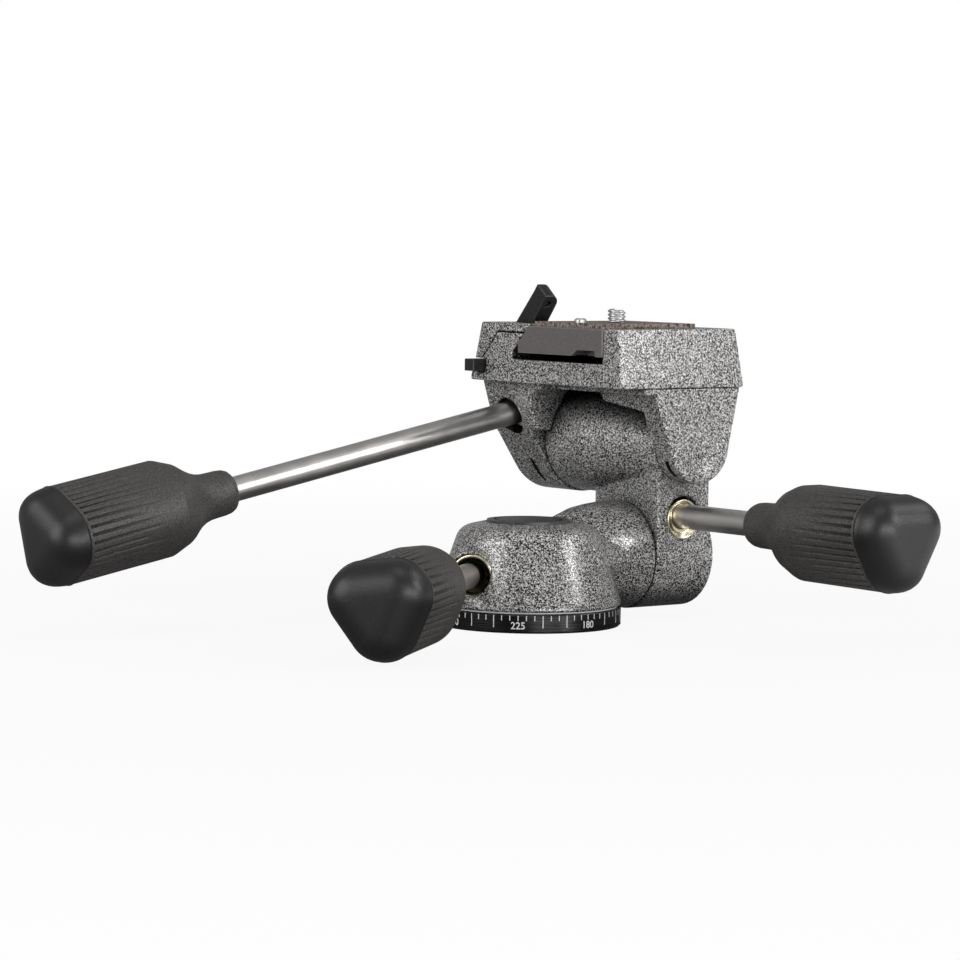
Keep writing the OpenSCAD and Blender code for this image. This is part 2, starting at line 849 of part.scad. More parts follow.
// Jaw outline in the XZ plane: a thin shelf over the dovetail and a leg down the left side.
module jaw_outline(grow) {
  polygon([[plat_x0 - 5, plat_z1 + 5], [plate_x0 - let_in + grow, plat_z1 + 5],
    [plate_x0 - let_in + grow, plat_z1], [plate_x0 - jaw_t - let_in + grow, plat_z1 - jaw_t - grow],
    [jaw_leg_x + grow, plat_z1 - jaw_t - grow], [jaw_foot_x + grow, jaw_foot_z - grow],
    [plat_x0 - 5, jaw_foot_z - grow]]);
}

// Platform: cast top with a slot for the plate, open to the rear.
module platform() {
  color([0.62, 0.63, 0.63])
    difference() {
      union() {
        platform_shell();
        lever_lug(0);
      }
      lever_slot();
      along_y(lever_y - lug_half + 0.5, lever_y + lug_half - 0.5, lever_x, lever_z, lever_pin_r);
      box(catch_x - let_in, catch_x + catch_w + let_in, plat_y0 - 1, plat_y0 + catch_in + 4,
        catch_z - let_in, catch_z + catch_h + let_in);
      yoke_screw_set(run);
    }
}

// Lug under the jaw that holds the lever pin, grown by a margin.
module lever_lug(grow) {
  box(lever_x - lever_pin_r - 1.7 - grow, lever_x + lever_hub_r, lever_y - lug_half - grow,
    lever_y + lug_half + grow, jaw_foot_z - 1, plat_z1 - jaw_t - (grow > 0 ? 0 : let_in));
}

// Platform with the slot for the plate and the pocket for the jaw.
module platform_shell() {
  difference() {
    plat_form();
    translate([0, plate_y1 + 0.5, 0])
      rotate([90, 0, 0])
        linear_extrude(height = plate_l + 20)
          polygon([[plate_x0 - let_in, plat_z1 + 1], [plate_x0 - let_in, plat_z1],
            [plate_x0 - tail - let_in, tail_z], [plate_x0 - tail - slot_side, slot_z + 2.5],
            [plate_x0 - tail - slot_side, slot_z],
            [plate_x1 + let_in, slot_z], [plate_x1 + let_in, plat_z1 + 1]]);
    translate([0, jaw_y1 + let_in, 0])
      rotate([90, 0, 0])
        linear_extrude(height = jaw_y1 + 20)
          jaw_outline(jaw_gap);
  }
}

// Room for the lever to swing in.
module lever_slot() {
  up = plat_z1 - lever_z;
  back = lever_swing - lever_lean;
  box(lever_x - up * tan(back) - lever_hub_r / cos(back) - 0.5,
    lever_x + up * tan(lever_lean) + lever_hub_r / cos(lever_lean) + 0.5,
    lever_y - lever_t / 2 - 0.3, lever_y + lever_t / 2 + 0.3, lever_z - lever_hub_r - 0.5, plat_z1 + 5);
}

// Lever pin: steel pin that the lock lever turns on.
module lever_pin() {
  color([0.6, 0.6, 0.62])
    along_y(lever_y - lug_half + 0.5, lever_y + lug_half - 0.5, lever_x, lever_z, lever_pin_r);
}

// Lock lever: cast lever with a cam hub, leaning over towards the plate.
module lock_lever() {
  color([0.08, 0.08, 0.09])
    translate([lever_x, lever_y, lever_z])
      rotate([0, lever_lean, 0])
        difference() {
          union() {
            along_y(-lever_t / 2, lever_t / 2, 0, 0, lever_hub_r);
            translate([0, lever_t / 2, 0])
              rotate([90, 0, 0])
                linear_extrude(height = lever_t)
                  polygon([[-lever_hub_r, 0], [lever_hub_r, 0], [lever_tip_r, lever_l - lever_tip_r],
                    [-lever_tip_r, lever_l - lever_tip_r]]);
            along_y(-lever_t / 2, lever_t / 2, 0, lever_l - lever_tip_r, lever_tip_r);
          }
          along_y(-lever_t, lever_t, 0, 0, lever_pin_r + run);
          translate([2, 0, lever_l * 0.78])
            rotate([0, 90, 0])
              cylinder(r = 1.25, h = 10);
        }
}

// Clamp jaw: sliding jaw that grips the edge of the plate.
module clamp_jaw() {
  color([0.62, 0.63, 0.63])
    difference() {
      union() {
        intersection() {
          plat_form();
          translate([0, jaw_y1, 0])
            rotate([90, 0, 0])
              linear_extrude(height = jaw_y1 - jaw_y0)
                jaw_outline(0);
        }
        translate([0, jaw_y1, 0])
          rotate([90, 0, 0])
            linear_extrude(height = jaw_y1 - jaw_y0)
              polygon([[plat_x0 + plat_in_l + 0.2, plat_z1 - 0.5], [plate_x0 - let_in - 0.5, plat_z1 - 0.5],
                [plate_x0 - let_in, plat_z1], [plate_x0 - let_in, plat_z1 + jaw_rise],
                [plat_x0 + plat_in_l + 0.2, plat_z1 + jaw_rise]]);
      }
      lever_lug(0.3);
      lever_slot();
    }
}

// Safety catch: small push button beside the jaw.
module safety_catch() {
  color([0.07, 0.07, 0.08])
    box(catch_x, catch_x + catch_w, plat_y0 - catch_out, plat_y0 + catch_in, catch_z,
      catch_z + catch_h);
}

// Release plate: metal plate with one dovetail edge that screws to the camera.
module release_plate() {
  color([0.3, 0.3, 0.31])
    difference() {
      translate([0, plate_y1, 0])
        rotate([90, 0, 0])
          linear_extrude(height = plate_l)
            polygon([[plate_x0, plat_z1], [plate_x1, plat_z1], [plate_x1, plate_z0],
              [plate_x0 - tail, plate_z0], [plate_x0 - tail, tail_z]]);
      translate([0, screw_y, plate_z0 - 1])
        cylinder(r = screw_head_r + 0.4, h = screw_head_t + 1.6);
      translate([0, screw_y, plate_z0])
        cylinder(r = screw_r + run, h = 30);
      translate([0, pin_y, plate_z0 - 1])
        cylinder(r = pin_head_r + run, h = 6.1);
      translate([0, pin_y, plate_z0])
        cylinder(r = pin_r + run, h = 30);
      translate([0, plate_y0 + 6, 0])
        rotate([90, 0, 0])
          linear_extrude(height = 7)
            polygon([[notch_x0 - 1, plate_z0 - 1], [notch_x0, plate_z0], [notch_x0 + 3, notch_z],
              [notch_x1, notch_z], [notch_x1, plate_z0 - 1]]);
    }
}

// Cork pad: glued to the top of the plate.
module cork_pad() {
  color([0.5, 0.34, 0.2])
    difference() {
      box(plate_x0 + 3, plate_x1, plate_y0 + 0.3, plate_y1, plat_z1, plat_z1 + cork_t);
      translate([0, screw_y, plat_z1 - 1])
        cylinder(r = screw_r + 0.6, h = 9);
      translate([0, pin_y, plat_z1 - 1])
        cylinder(r = pin_r + 0.4, h = 9);
    }
}

// Camera screw: quarter-inch screw with a slotted flat head under the plate.
module camera_screw() {
  color([0.8, 0.8, 0.82])
    difference() {
      union() {
        translate([0, screw_y, plate_z0 + 0.2])
          cylinder(r = screw_head_r, h = screw_head_t);
        translate([0, screw_y, plate_z0 + 0.2])
          cylinder(r = screw_r, h = plate_h - 0.2);
        translate([0, screw_y, plat_z1 - 0.1])
          cylinder(r = screw_r - 0.5, h = cork_t + 0.2);
        translate([0, screw_y, plat_z1 + cork_t])
          cylinder(r = screw_r, h = screw_up - 0.6);
        translate([0, screw_y, plat_z1 + cork_t + screw_up - 0.6])
          cylinder(r1 = screw_r, r2 = screw_r - 0.6, h = 0.6);
      }
      box(-screw_head_r - 1, screw_head_r + 1, screw_y - 0.7, screw_y + 0.7, plate_z0 - 1,
        plate_z0 + 1.2);
    }
}

// Twist pin: sprung pin that keeps the camera from turning on the plate.
module twist_pin() {
  color([0.8, 0.8, 0.82])
    union() {
      translate([0, pin_y, plate_z0 + 3.2])
        cylinder(r = pin_head_r, h = 1.8);
      translate([0, pin_y, plate_z0 + 3.2])
        cylinder(r = pin_r, h = plate_h - 3.2 + cork_t + 1);
      translate([0, pin_y, plat_z1 + cork_t + 1])
        cylinder(r1 = pin_r, r2 = pin_r - 0.6, h = 0.5);
    }
}

base_ring();
tripod_insert();
pan_post();
base_screws();
pan_washer();
pan_disc();
pan_nut();
pan_housing();
pan_cap();
pan_bush();
pan_plug();
side_shaft();
side_washer();
side_screw();
pan_rod();
pan_grip();
pan_grip_cap();
tilt_block();
side_bush();
side_plug();
tilt_shaft();
side_rod();
side_grip();
side_grip_cap();
yoke();
tilt_bush();
tilt_plug();
tilt_cover();
yoke_screws();
tilt_rod();
tilt_grip();
tilt_grip_cap();
platform();
lever_pin();
lock_lever();
clamp_jaw();
safety_catch();
release_plate();
cork_pad();
camera_screw();
twist_pin();
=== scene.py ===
import math

import bmesh
import bpy
from mathutils import Matrix, Vector


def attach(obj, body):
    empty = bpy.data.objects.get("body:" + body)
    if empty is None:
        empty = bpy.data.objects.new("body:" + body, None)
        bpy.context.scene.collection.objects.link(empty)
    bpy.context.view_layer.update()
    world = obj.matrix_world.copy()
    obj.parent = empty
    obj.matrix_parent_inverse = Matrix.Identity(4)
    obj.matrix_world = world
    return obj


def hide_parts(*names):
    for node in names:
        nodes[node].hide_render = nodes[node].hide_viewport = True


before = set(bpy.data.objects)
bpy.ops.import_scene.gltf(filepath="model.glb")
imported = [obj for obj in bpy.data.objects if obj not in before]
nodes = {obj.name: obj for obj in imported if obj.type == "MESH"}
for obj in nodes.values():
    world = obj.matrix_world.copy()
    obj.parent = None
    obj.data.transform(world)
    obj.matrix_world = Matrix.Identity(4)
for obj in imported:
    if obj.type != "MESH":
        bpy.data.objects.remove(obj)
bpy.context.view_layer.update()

# Base ring: a turned aluminium disc, anodised black, with the pan scale printed round its edge.
# It screws to the tripod and carries everything else.
mm = 0.001


def new_finish(name, colour, roughness, metallic=0.0):
    """A new material, with its node tree and its shader."""
    finish = bpy.data.materials.new(name)
    finish.use_nodes = True
    tree = finish.node_tree
    shader = tree.nodes["Principled BSDF"]
    shader.inputs["Base Color"].default_value = (*colour, 1)
    shader.inputs["Roughness"].default_value = roughness
    shader.inputs["Metallic"].default_value = metallic
    return finish, tree, shader


def grain(tree, scale, detail, distortion=0.0, stretch=(1, 1, 1)):
    """Noise on the piece's own coordinates, scale in cells per metre."""
    coords = tree.nodes.new("ShaderNodeTexCoord")
    mapping = tree.nodes.new("ShaderNodeMapping")
    mapping.inputs["Scale"].default_value = stretch
    noise = tree.nodes.new("ShaderNodeTexNoise")
    noise.inputs["Scale"].default_value = scale
    noise.inputs["Detail"].default_value = detail
    noise.inputs["Distortion"].default_value = distortion
    tree.links.new(coords.outputs["Object"], mapping.inputs["Vector"])
    tree.links.new(mapping.outputs["Vector"], noise.inputs["Vector"])
    return noise.outputs["Fac"]


def ramp(tree, value, *stops):
    """Colour ramp over a value: stops are (position, colour)."""
    node = tree.nodes.new("ShaderNodeValToRGB")
    band = node.color_ramp
    while len(band.elements) < len(stops):
        band.elements.new(0.5)
    for element, (place, colour) in zip(band.elements, stops):
        element.position = place
        element.color = (*colour, 1)
    tree.links.new(value, node.inputs["Fac"])
    return node.outputs["Color"]


def vary(tree, shader, socket, value, low, high):
    """Runs one of the shader's inputs from low to high with a grain."""
    tree.links.new(ramp(tree, value, (0.3, low), (0.7, high)), shader.inputs[socket])


def relief(tree, shader, value, depth, strength):
    """Bump of the given depth in metres."""
    bump = tree.nodes.new("ShaderNodeBump")
    bump.inputs["Distance"].default_value = depth
    bump.inputs["Strength"].default_value = strength
    tree.links.new(value, bump.inputs["Height"])
    tree.links.new(bump.outputs["Normal"], shader.inputs["Normal"])


def grey(v):
    """A grey of that lightness."""
    return (v, v, v)


anodised, tree, shader = new_finish("black_anodised", grey(0.003), 0.25)
shader.inputs["Specular IOR Level"].default_value = 0.6
lathe_lines = grain(tree, 90, 3, 0, (1, 1, 40))
vary(tree, shader, "Base Color", lathe_lines, grey(0.0015), grey(0.005))
vary(tree, shader, "Roughness", lathe_lines, grey(0.18), grey(0.32))
relief(tree, shader, lathe_lines, 0.03 * mm, 0.5)


def dress(node, finish):
    """Gives a CAD node that keeps its own shape a finish."""
    nodes[node].data.materials.clear()
    nodes[node].data.materials.append(finish)


dress("base_ring", anodised)

# Pan scale: white paint on the edge of the base ring, a short line for each five degrees,
# a long line for each fifteen and a number below each forty-five.
paint, tree, shader = new_finish("scale_paint", grey(0.8), 0.55)
tree.links.new(ramp(tree, grain(tree, 3000, 3), (0.3, grey(0.55)), (0.6, grey(0.86))),
               shader.inputs["Base Color"])


def add_piece(name, bm, finish, body, slot, *stands_for):
    """Makes a piece of a bmesh, ties it to its body and hides the nodes it stands for. The slot is
    not used.
    """
    mesh = bpy.data.meshes.new(name)
    bm.to_mesh(mesh)
    bm.free()
    mesh.materials.append(finish)
    piece = bpy.data.objects.new(name, mesh)
    bpy.context.scene.collection.objects.link(piece)
    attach(piece, body)
    if stands_for:
        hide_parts(*stands_for)
    return piece


ring_r = 32 * mm
scale_zero = math.radians(181.85)
scale_top = 6.0 * mm
line_w, paint_t = 0.32 * mm, 0.06 * mm
short_line, long_line = 1.7 * mm, 4.1 * mm
number_h, number_foot, number_swell = 3.35 * mm, 1.55 * mm, 0.04 * mm


def along_ring(degrees):
    """How far round the ring, as a length, a mark of the scale stands."""
    return ring_r * (scale_zero - math.radians(degrees))


scale = bmesh.new()
for degrees in range(0, 360, 5):
    length = long_line if degrees % 15 == 0 and degrees % 45 else short_line
    line = bmesh.ops.create_cube(scale, size=1)["verts"]
    bmesh.ops.scale(scale, vec=(line_w, paint_t, length), verts=line)
    bmesh.ops.translate(scale, vec=(along_ring(degrees), 0, scale_top - length / 2), verts=line)
for number in range(0, 360, 45):
    curve = bpy.data.curves.new("scale_number", "FONT")
    curve.body = str(number)
    curve.size = number_h
    curve.align_x = "CENTER"
    curve.extrude = paint_t / 2
    curve.offset = number_swell
    text = bpy.data.objects.new("scale_number", curve)
    bpy.context.scene.collection.objects.link(text)
    bpy.context.view_layer.update()
    drawn = text.evaluated_get(bpy.context.evaluated_depsgraph_get())
    flat = bpy.data.meshes.new_from_object(drawn)
    bpy.data.objects.remove(text)
    flat.transform(Matrix.Rotation(math.pi / 2, 4, "X"))
    flat.transform(Matrix.Translation((along_ring(number), 0, number_foot)))
    scale.from_mesh(flat)
    bpy.data.meshes.remove(flat)
# The flat drawing is bent round the ring: x runs round it, y stands off it.
for v in scale.verts:
    angle, out = v.co.x / ring_r, ring_r - v.co.y
    v.co = Vector((out * math.cos(angle), out * math.sin(angle), v.co.z))
bmesh.ops.remove_doubles(scale, verts=scale.verts, dist=1e-7)
add_piece("pan_scale", scale, paint, "base", "black_metal")

# Tripod insert, pan post and the screws, washers and nut that hold the bearings together:
# turned steel, bright where it was cut, and out of sight once the head is closed.
# The slip washer under the housing is a pale plastic ring.
steel, tree, shader = new_finish("turned_steel", grey(0.5), 0.35, 1.0)
vary(tree, shader, "Roughness", grain(tree, 1500, 4), grey(0.24), grey(0.46))
vary(tree, shader, "Base Color", grain(tree, 400, 3), grey(0.42), grey(0.58))
for node in ("tripod_insert", "pan_post", "base_screws", "pan_disc", "pan_nut", "side_shaft",
             "side_washer", "side_screw", "tilt_shaft", "yoke_screws", "lever_pin"):
    dress(node, steel)
slip, tree, shader = new_finish("slip_washer", grey(0.7), 0.4)
vary(tree, shader, "Base Color", grain(tree, 700, 3), (0.78, 0.77, 0.75), (0.9, 0.89, 0.87))
dress("pan_washer", slip)

# Pan housing: cast aluminium, its edges rounded by the mould, sprayed with grey hammer enamel
# that dries to a wormy speckle. It turns on the post and carries the arm of the side tilt,
# which grows out of it in a soft blend.
def times(tree, one, other):
    """Product of two colours."""
    node = tree.nodes.new("ShaderNodeMix")
    node.data_type = "RGBA"
    node.blend_type = "MULTIPLY"
    node.inputs["Factor"].default_value = 1
    tree.links.new(one, node.inputs["A"])
    tree.links.new(other, node.inputs["B"])
    return node.outputs["Result"]


def edge_tone(tree, *stops):
    """Painted light and shade by how sharp the surface is: below a half in hollow corners, as
    painted shade, above it on edges, as painted highlights.
    """
    shape = tree.nodes.new("ShaderNodeNewGeometry")
    return ramp(tree, shape.outputs["Pointiness"], *stops)


def gap_tone(tree, reach, *stops):
    """Painted shade by how open the surface is within that reach: zero in a deep gap, one in the
    open.
    """
    shade = tree.nodes.new("ShaderNodeAmbientOcclusion")
    shade.samples = 6
    shade.inputs["Distance"].default_value = reach
    return ramp(tree, shade.outputs["AO"], *stops)


def enamel(name):
    """Hammer enamel: dark worms in light grey, with painted highlights on sharp edges and painted
    shade in corners and gaps.
    """
    finish, tree, shader = new_finish(name, grey(0.4), 0.4, 0.15)
    speck = grain(tree, 2250, 0, 1.1)
    worms = ramp(tree, speck, (0.45, grey(0.001)), (0.505, (0.02, 0.019, 0.0185)),
                 (0.545, (0.55, 0.536, 0.525)), (0.6, (1, 0.978, 0.96)))
    # Painted highlight on sharp edges, painted shade in hollow corners.
    edges = edge_tone(tree, (0.44, grey(0.35)), (0.49, grey(0.72)), (0.51, grey(0.72)),
                      (0.56, grey(1)))
    # Painted shade in gaps, creases and under overhangs, laid on the colour and on the specular
    # level.
    depth = gap_tone(tree, 16 * mm, (0.12, grey(0.02)), (0.55, grey(0.42)), (0.85, grey(1)))
    gloss = ramp(tree, speck, (0.42, grey(0.2)), (0.56, grey(0.6)))
    dull = ramp(tree, speck, (0.35, grey(0.5)), (0.6, grey(0.28)))
    tree.links.new(times(tree, times(tree, worms, edges), depth), shader.inputs["Base Color"])
    tree.links.new(times(tree, gloss, depth), shader.inputs["Specular IOR Level"])
    tree.links.new(dull, shader.inputs["Roughness"])
    shader.inputs["Coat Weight"].default_value = 1
    shader.inputs["Coat Roughness"].default_value = 0.24
    relief(tree, shader, speck, 0.06 * mm, 0.6)
    return finish, tree, shader


hammer, tree, shader = enamel("hammer_enamel")


def solid(node, added=None):
    """A merged copy of a CAD solid, together with any added form."""
    bm = added or bmesh.new()
    bm.from_mesh(nodes[node].data)
    bmesh.ops.remove_doubles(bm, verts=bm.verts, dist=1e-6)
    return bm


def soften(piece, voxel, rounds):
    """Gives a piece one closed skin and rounds its edges off."""
    skin = piece.modifiers.new("skin", "REMESH")
    skin.mode = "VOXEL"
    skin.voxel_size = voxel
    skin.use_smooth_shade = True
    fillet = piece.modifiers.new("fillet", "SMOOTH")
    fillet.factor = 0.5
    fillet.iterations = rounds


def casting(node, body, finish=hammer, voxel=0.4 * mm, added=None):
    """A CAD solid, with any added form, its edges rounded off as in a mould."""
    piece = add_piece("cast_" + node, solid(node, added), finish, body, "casting", node)
    soften(piece, voxel, 5)
    thin = piece.modifiers.new("thin", "DECIMATE")
    thin.ratio = 0.6


def turned(bm, profile, centre, axis, steps):
    """Spins a profile of points all the way round an axis."""
    points = [bm.verts.new(p) for p in profile]
    outline = [bm.edges.new(pair) for pair in zip(points, points[1:])]
    bmesh.ops.spin(bm, geom=points + outline, cent=centre, axis=axis, angle=2 * math.pi,
                   steps=steps, use_merge=True)


side_z = 22
flank = ((0.001, 10), (26, 10), (24.3, 14), (22, 18), (20.4, 22), (19.4, 26), (18.8, 31),
         (18.4, 36), (0.001, 36))
flatness = 0.52
blend = bmesh.new()
turned(blend, [Vector((r, y, side_z)) * mm for r, y in flank], (0, 0, side_z * mm), (0, 1, 0), 64)
bmesh.ops.remove_doubles(blend, verts=blend.verts, dist=1e-5)
bmesh.ops.scale(blend, vec=(1, 1, flatness), verts=blend.verts,
                space=Matrix.Translation((0, 0, -side_z * mm)))
bmesh.ops.recalc_face_normals(blend, faces=blend.faces)
casting("pan_housing", "pan", added=blend)

# Pan cap: a flat black disc pressed into the top of the housing, turned with one shallow groove.
# The cover of the tilt bore is of the same satin black. This satin black is painted lighter along
# its sharp edges, as painted highlights.
satin_black, tree, shader = new_finish("satin_black", grey(0.006), 0.32)
vary(tree, shader, "Roughness", grain(tree, 1400, 3), grey(0.26), grey(0.4))
# Painted highlight: lighter on sharp edges, darker on flats and in hollows.
painted_edge_highlight = edge_tone(tree, (0.5, grey(0.12)), (0.57, grey(1)))
tone = ramp(tree, grain(tree, 500, 3), (0.3, grey(0.035)), (0.7, grey(0.075)))
tree.links.new(times(tree, painted_edge_highlight, tone), shader.inputs["Base Color"])
dress("pan_cap", satin_black)
dress("tilt_cover", satin_black)

# Clamp bushes and plugs: turned brass, let into the castings where the handles screw in. The
# bushes of the short handles show: a thin rim and a dish, set a little lower than the rod.
brass, tree, shader = new_finish("turned_brass", (0.8, 0.7, 0.5), 0.25, 1.0)
tone = grain(tree, 300, 2)
vary(tree, shader, "Base Color", tone, (0.78, 0.69, 0.48), (0.9, 0.83, 0.64))
vary(tree, shader, "Roughness", tone, grey(0.22), grey(0.3))
for node in ("tilt_bush", "pan_plug", "side_plug", "tilt_plug"):
    dress(node, brass)


def bush(name, body, place, shift, loops, node):
    """Circles of (radius, height, share of the shift) in millimetres, joined one to the next."""
    bm = bmesh.new()
    last = []
    for r, h, share in loops:
        ring = bmesh.ops.create_circle(bm, segments=96, radius=r)["verts"]
        edges = list(dict.fromkeys(e for v in ring for e in v.link_edges))
        bmesh.ops.translate(bm, vec=(shift[0] * share, shift[1] * share, h), verts=ring)
        if last:
            bmesh.ops.bridge_loops(bm, edges=last + edges)
        last = edges
    bmesh.ops.recalc_face_normals(bm, faces=bm.faces)
    for face in bm.faces:
        face.smooth = True
    bm.transform(place @ Matrix.Diagonal((mm, mm, mm, 1)))
    add_piece(name, bm, brass, body, "brass", node)


def upright(base, x, z):
    """Frame at base with the given x and z and its y square to both."""
    x, z = Vector(x), Vector(z)
    place = Matrix((x, z.cross(x), z)).transposed().to_4x4()
    place.translation = base
    return place


heading = math.radians(-52)
pan_off, pan_z = 13 * mm, 18.5 * mm
pan_out = Vector((math.cos(heading), math.sin(heading), 0))
pan_foot = Vector((pan_off * math.sin(heading), -pan_off * math.cos(heading), pan_z))
pan_mouth = upright(pan_foot + pan_out * 26.6 * mm, (-pan_out.y, pan_out.x, 0), pan_out)
bush("pan_bush_rim", "pan", pan_mouth, (0.5, -0.4),
     ((7.3, -1.5, 1), (7.3, 0.3, 1), (7.1, 0.55, 1), (6.5, 0.5, 1), (5.8, -0.2, 1), (5.5, -1, 1),
      (5.3, -3, 0.8), (4.6, -5, 0), (4.4, -7, 0)), "pan_bush")
side_mouth = upright(Vector((19, 53.2, 36)) * mm, (0, 1, 0), (1, 0, 0))
bush("side_bush_rim", "block", side_mouth, (-0.3, -1),
     ((6.9, -1, 1), (6.9, 0.15, 1), (6.65, 0.35, 1), (6.3, 0.2, 1), (5.5, -0.8, 0.7),
      (4.95, -1.1, 0.1), (4.75, -0.9, 0), (4.5, -1, 0), (4.4, -1.6, 0), (4.4, -6, 0)), "side_bush")

# Handle rods: ground stainless rod with a satin finish, screwed through the bushes. A band of the
# pan rod next to its bush is coloured near black.
def stainless(name):
    """Satin stainless steel."""
    finish, tree, shader = new_finish(name, (0.66, 0.64, 0.61), 0.3, 1.0)
    tone = grain(tree, 120, 2)
    vary(tree, shader, "Roughness", tone, grey(0.3), grey(0.36))
    vary(tree, shader, "Base Color", tone, (0.64, 0.62, 0.6), (0.71, 0.69, 0.67))
    return finish, tree, shader


def reckon(tree, operation, one, other):
    """Sum or product of two values."""
    node = tree.nodes.new("ShaderNodeMath")
    node.operation = operation
    tree.links.new(one, node.inputs[0])
    tree.links.new(other, node.inputs[1])
    return node.outputs["Value"]


def inside(tree, place, turn, *limits):
    """One where every given (axis, middle, half width) in a turned frame holds, else zero."""
    coords = tree.nodes.new("ShaderNodeTexCoord")
    mapping = tree.nodes.new("ShaderNodeMapping")
    mapping.vector_type = "TEXTURE"
    mapping.inputs["Location"].default_value = place
    mapping.inputs["Rotation"].default_value = turn
    tree.links.new(coords.outputs["Object"], mapping.inputs["Vector"])
    split = tree.nodes.new("ShaderNodeSeparateXYZ")
    tree.links.new(mapping.outputs["Vector"], split.inputs["Vector"])
    flat = tree.nodes.new("ShaderNodeVectorMath")
    flat.operation = "MULTIPLY"
    flat.inputs[1].default_value = (1, 1, 0)
    tree.links.new(mapping.outputs["Vector"], flat.inputs[0])
    reach = tree.nodes.new("ShaderNodeVectorMath")
    reach.operation = "LENGTH"
    tree.links.new(flat.outputs["Vector"], reach.inputs[0])
    axes = {"x": split.outputs["X"], "y": split.outputs["Y"], "z": split.outputs["Z"],
            "r": reach.outputs["Value"]}
    mark = None
    for axis, middle, half in limits:
        test = tree.nodes.new("ShaderNodeMath")
        test.operation = "COMPARE"
        test.inputs[1].default_value = middle * mm
        test.inputs[2].default_value = half * mm
        tree.links.new(axes[axis], test.inputs[0])
        held = test.outputs["Value"]
        mark = reckon(tree, "MULTIPLY", mark, held) if mark else held
    return mark


def paint_over(tree, shader, mark, colour):
    """Lays a colour over the base colour where the mark is one."""
    bare = tree.nodes.new("ShaderNodeMix")
    bare.data_type = "RGBA"
    bare.inputs["B"].default_value = (*colour, 1)
    tree.links.new(mark, bare.inputs["Factor"])
    tree.links.new(shader.inputs["Base Color"].links[0].from_socket, bare.inputs["A"])
    tree.links.new(bare.outputs["Result"], shader.inputs["Base Color"])


rod_steel, tree, shader = stainless("satin_stainless")
for node in ("side_rod", "tilt_rod"):
    dress(node, rod_steel)
dark_end, tree, shader = stainless("rod_with_dark_band")
# A band of the pan rod next to its bush, coloured near black.
dark_band = inside(tree, pan_foot, (math.pi / 2, 0, heading + math.pi / 2), ("z", 27, 3.5))
paint_over(tree, shader, dark_band, (0.012, 0.012, 0.014))
dress("pan_rod", dark_end)

# Grips: black rubber moulded on the rod, round at the collar and three-sided towards the end,
# with fine grooves on each side that fade out towards the collar. A smooth hard cap closes the end.
rubber, tree, shader = new_finish("grained_rubber", grey(0.03), 0.5)
pores = grain(tree, 2600, 3)
# Painted shade in the grooves and other narrow hollows, on the colour and on the specular level.
painted_groove_shade = gap_tone(tree, 1.6 * mm, (0.45, grey(0.12)), (0.85, grey(1)))
tone = ramp(tree, pores, (0.3, (0.016, 0.0148, 0.014)), (0.7, (0.1, 0.092, 0.088)))
gloss = ramp(tree, pores, (0.3, grey(0.4)), (0.7, grey(0.8)))
tree.links.new(times(tree, painted_groove_shade, tone), shader.inputs["Base Color"])
tree.links.new(times(tree, painted_groove_shade, gloss), shader.inputs["Specular IOR Level"])
vary(tree, shader, "Roughness", pores, grey(0.58), grey(0.42))
relief(tree, shader, pores, 0.1 * mm, 0.7)
soft_black, tree, shader = new_finish("moulded_end", grey(0.01), 0.42)
shader.inputs["Specular IOR Level"].default_value = 0.6
pores = grain(tree, 3000, 3)
vary(tree, shader, "Base Color", pores, (0.003, 0.0028, 0.0027), (0.014, 0.013, 0.0124))
vary(tree, shader, "Roughness", pores, grey(0.46), grey(0.36))
relief(tree, shader, pores, 0.06 * mm, 0.6)
seam_at = 65
around = 480
side = 2 * math.pi / 3
grooves, groove_depth = 13, 0.8


def rounded_triangle(angle, core, corner):
    """Radius at an angle of a triangle of that inner radius, rounded by corner, one corner at 60."""
    a = abs((angle - math.radians(60) + side / 2) % side - side / 2)
    flat = (core + corner) / math.cos(side / 2 - a)
    if flat * math.sin(side / 2 - a) <= math.sqrt(3) * core:
        return flat
    return 2 * core * math.cos(a) + math.sqrt(max(corner ** 2 - (2 * core * math.sin(a)) ** 2, 0))


def groove(angle, z):
    """Depth of the grooves of a side, deepest next to the end cap, every other one longer."""
    if z > seam_at - 1.6:
        return 0
    place = (angle + side / 2) % side / math.radians(120 / grooves)
    number = math.floor(place)
    start = 31 + 1.1 * abs(number - grooves // 2) + 5 * (number % 2)
    across = max(0, 1 - abs((place % 1) - 0.5) / 0.2)
    along = max(0, (z - start) / (seam_at - start))
    return groove_depth * min(1, across * 1.5) * along ** 0.6


def loft(rings, with_grooves):
    """Draws a ring of the grip out along its axis, through (z, core, corner) in millimetres."""
    bm = bmesh.new()
    z, _, corner = rings[0]
    bmesh.ops.create_circle(bm, segments=around, radius=corner)
    edges = bm.edges[:]
    for v in bm.verts:
        v.co.z = z
    for z, core, corner in rings[1:]:
        made = bmesh.ops.extrude_edge_only(bm, edges=edges)["geom"]
        edges = [g for g in made if isinstance(g, bmesh.types.BMEdge)]
        for v in (g for g in made if isinstance(g, bmesh.types.BMVert)):
            angle = math.atan2(v.co.y, v.co.x)
            r = rounded_triangle(angle, core, corner)
            if with_grooves:
                r -= groove(angle, z)
            v.co = Vector((r * math.cos(angle), r * math.sin(angle), z))
    return bm, edges


def gather(bm, edges, at):
    """Closes a ring of edges towards one point on the axis."""
    made = bmesh.ops.extrude_edge_only(bm, edges=edges)["geom"]
    rim = [g for g in made if isinstance(g, bmesh.types.BMVert)]
    bmesh.ops.pointmerge(bm, verts=rim, merge_co=(0, 0, at))


